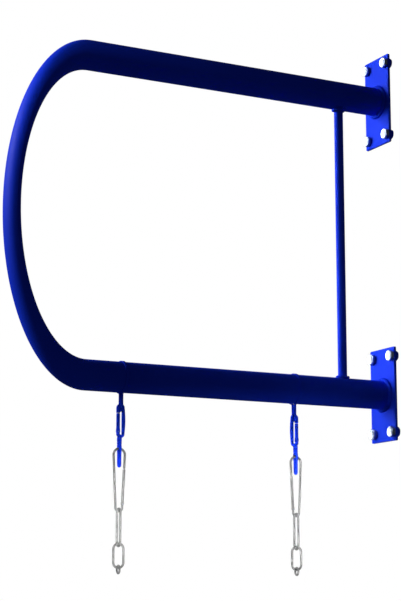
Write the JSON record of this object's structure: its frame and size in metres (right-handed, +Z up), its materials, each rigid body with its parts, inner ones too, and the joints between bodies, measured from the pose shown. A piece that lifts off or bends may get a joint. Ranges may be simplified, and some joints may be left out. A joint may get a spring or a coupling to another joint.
{
  "type": "kip bar wall frame",
  "caption": "Wall-mounted bent tube frame with bolted plates, an upright brace, and sprung hooks, carabiners and chain hanging from the lower arm.",
  "frame": {"origin": "midway between the two wall plates, on the wall's surface", "axes": "+X into the wall, +Z up, -Y the near side; the frame reaches out along -X"},
  "size_m": [0.7249, 0.0762, 0.9366],
  "materials": {
    "blue_coat": "semi-gloss powder coat",
    "zinc_plate": "bright zinc plate",
    "steel": "drawn wire, lightly polished"
  },
  "bodies": {
    "root": {"frame_tube": "blue_coat", "brace_tube": "blue_coat", "upper_wall_plate": "blue_coat", "lower_wall_plate": "blue_coat", "upper_plate_weld": "blue_coat", "lower_plate_weld": "blue_coat", "upper_brace_weld": "blue_coat", "lower_brace_weld": "blue_coat", "bolt_upper_top_near": "zinc_plate", "bolt_upper_top_far": "zinc_plate", "bolt_upper_foot_near": "zinc_plate", "bolt_upper_foot_far": "zinc_plate", "bolt_lower_top_near": "zinc_plate", "bolt_lower_top_far": "zinc_plate", "bolt_lower_foot_near": "zinc_plate", "bolt_lower_foot_far": "zinc_plate", "nut_upper_top_near": "blue_coat", "nut_upper_top_far": "blue_coat", "nut_upper_foot_near": "blue_coat", "nut_upper_foot_far": "blue_coat", "nut_lower_top_near": "blue_coat", "nut_lower_top_far": "blue_coat", "nut_lower_foot_near": "blue_coat", "nut_lower_foot_far": "blue_coat", "outer_strap": "blue_coat", "outer_clamp_bolt": "blue_coat", "outer_clamp_nut": "blue_coat", "inner_strap": "blue_coat", "inner_clamp_bolt": "blue_coat", "inner_clamp_nut": "blue_coat"},
    "outer_hook": {"outer_hook_body": "blue_coat", "outer_hook_rivet": "zinc_plate"},
    "outer_hook_gate": {"outer_hook_gate": "blue_coat"},
    "outer_swivel": {"outer_swivel_eye": "blue_coat"},
    "outer_carabiner": {"outer_carabiner_body": "steel", "outer_carabiner_rivet": "zinc_plate"},
    "outer_carabiner_gate": {"outer_carabiner_gate": "steel"},
    "outer_link_1": {"outer_chain_link_1": "steel"},
    "outer_link_2": {"outer_chain_link_2": "steel"},
    "outer_end_link": {"outer_end_link": "steel"},
    "inner_hook": {"inner_hook_body": "blue_coat", "inner_hook_rivet": "zinc_plate"},
    "inner_hook_gate": {"inner_hook_gate": "blue_coat"},
    "inner_swivel": {"inner_swivel_eye": "blue_coat"},
    "inner_carabiner": {"inner_carabiner_body": "steel", "inner_carabiner_rivet": "zinc_plate"},
    "inner_carabiner_gate": {"inner_carabiner_gate": "steel"},
    "inner_link_1": {"inner_chain_link_1": "steel"},
    "inner_link_2": {"inner_chain_link_2": "steel"},
    "inner_end_link": {"inner_end_link": "steel"}
  },
  "joints": [
    {"name": "outer_hook_swing", "type": "hinge", "parent": "root", "child": "outer_hook", "pos_m": [-0.5175, 0, -0.319], "axis": [0, 1, 0], "range_deg": [-40, 40]},
    {"name": "outer_hook_gate_hinge", "type": "hinge", "parent": "outer_hook", "child": "outer_hook_gate", "pos_m": [-0.5222, 0, -0.3575], "axis": [0, 1, 0], "range_deg": [0, 6], "stiffness_Nm_per_rad": 0.05, "springref_deg": -5.73},
    {"name": "outer_swivel_turn", "type": "hinge", "parent": "outer_hook", "child": "outer_swivel", "pos_m": [-0.5197, 0, -0.3745], "axis": [0, 0, 1], "continuous": true},
    {"name": "outer_carabiner_swing", "type": "hinge", "parent": "outer_swivel", "child": "outer_carabiner", "pos_m": [-0.5197, 0, -0.3851], "axis": [1, 0, 0], "range_deg": [-50, 50]},
    {"name": "outer_carabiner_gate_hinge", "type": "hinge", "parent": "outer_carabiner", "child": "outer_carabiner_gate", "pos_m": [-0.51362, 0, -0.474], "axis": [0, -1, 0], "range_deg": [0, 12], "stiffness_Nm_per_rad": 0.05, "springref_deg": -5.73},
    {"name": "outer_link_1_swing", "type": "hinge", "parent": "outer_carabiner", "child": "outer_link_1", "pos_m": [-0.5197, 0, -0.4813], "axis": [0, 1, 0], "range_deg": [-40, 40]},
    {"name": "outer_link_2_swing", "type": "hinge", "parent": "outer_link_1", "child": "outer_link_2", "pos_m": [-0.5197, 0, -0.5367], "axis": [1, 0, 0], "range_deg": [-50, 50]},
    {"name": "outer_end_link_swing", "type": "hinge", "parent": "outer_link_2", "child": "outer_end_link", "pos_m": [-0.5197, 0, -0.5713], "axis": [0, 1, 0], "range_deg": [-40, 40]},
    {"name": "inner_hook_swing", "type": "hinge", "parent": "root", "child": "inner_hook", "pos_m": [-0.1925, 0, -0.319], "axis": [0, 1, 0], "range_deg": [-40, 40]},
    {"name": "inner_hook_gate_hinge", "type": "hinge", "parent": "inner_hook", "child": "inner_hook_gate", "pos_m": [-0.1878, 0, -0.3575], "axis": [0, -1, 0], "range_deg": [0, 6], "stiffness_Nm_per_rad": 0.05, "springref_deg": -5.73},
    {"name": "inner_swivel_turn", "type": "hinge", "parent": "inner_hook", "child": "inner_swivel", "pos_m": [-0.1903, 0, -0.3745], "axis": [0, 0, 1], "continuous": true},
    {"name": "inner_carabiner_swing", "type": "hinge", "parent": "inner_swivel", "child": "inner_carabiner", "pos_m": [-0.1903, 0, -0.3851], "axis": [1, 0, 0], "range_deg": [-50, 50]},
    {"name": "inner_carabiner_gate_hinge", "type": "hinge", "parent": "inner_carabiner", "child": "inner_carabiner_gate", "pos_m": [-0.19638, 0, -0.474], "axis": [0, 1, 0], "range_deg": [0, 12], "stiffness_Nm_per_rad": 0.05, "springref_deg": -5.73},
    {"name": "inner_link_1_swing", "type": "hinge", "parent": "inner_carabiner", "child": "inner_link_1", "pos_m": [-0.1903, 0, -0.4813], "axis": [0, 1, 0], "range_deg": [-40, 40]},
    {"name": "inner_link_2_swing", "type": "hinge", "parent": "inner_link_1", "child": "inner_link_2", "pos_m": [-0.1903, 0, -0.5367], "axis": [1, 0, 0], "range_deg": [-50, 50]},
    {"name": "inner_end_link_swing", "type": "hinge", "parent": "inner_link_2", "child": "inner_end_link", "pos_m": [-0.1903, 0, -0.5713], "axis": [0, 1, 0], "range_deg": [-40, 40]}
  ]
}
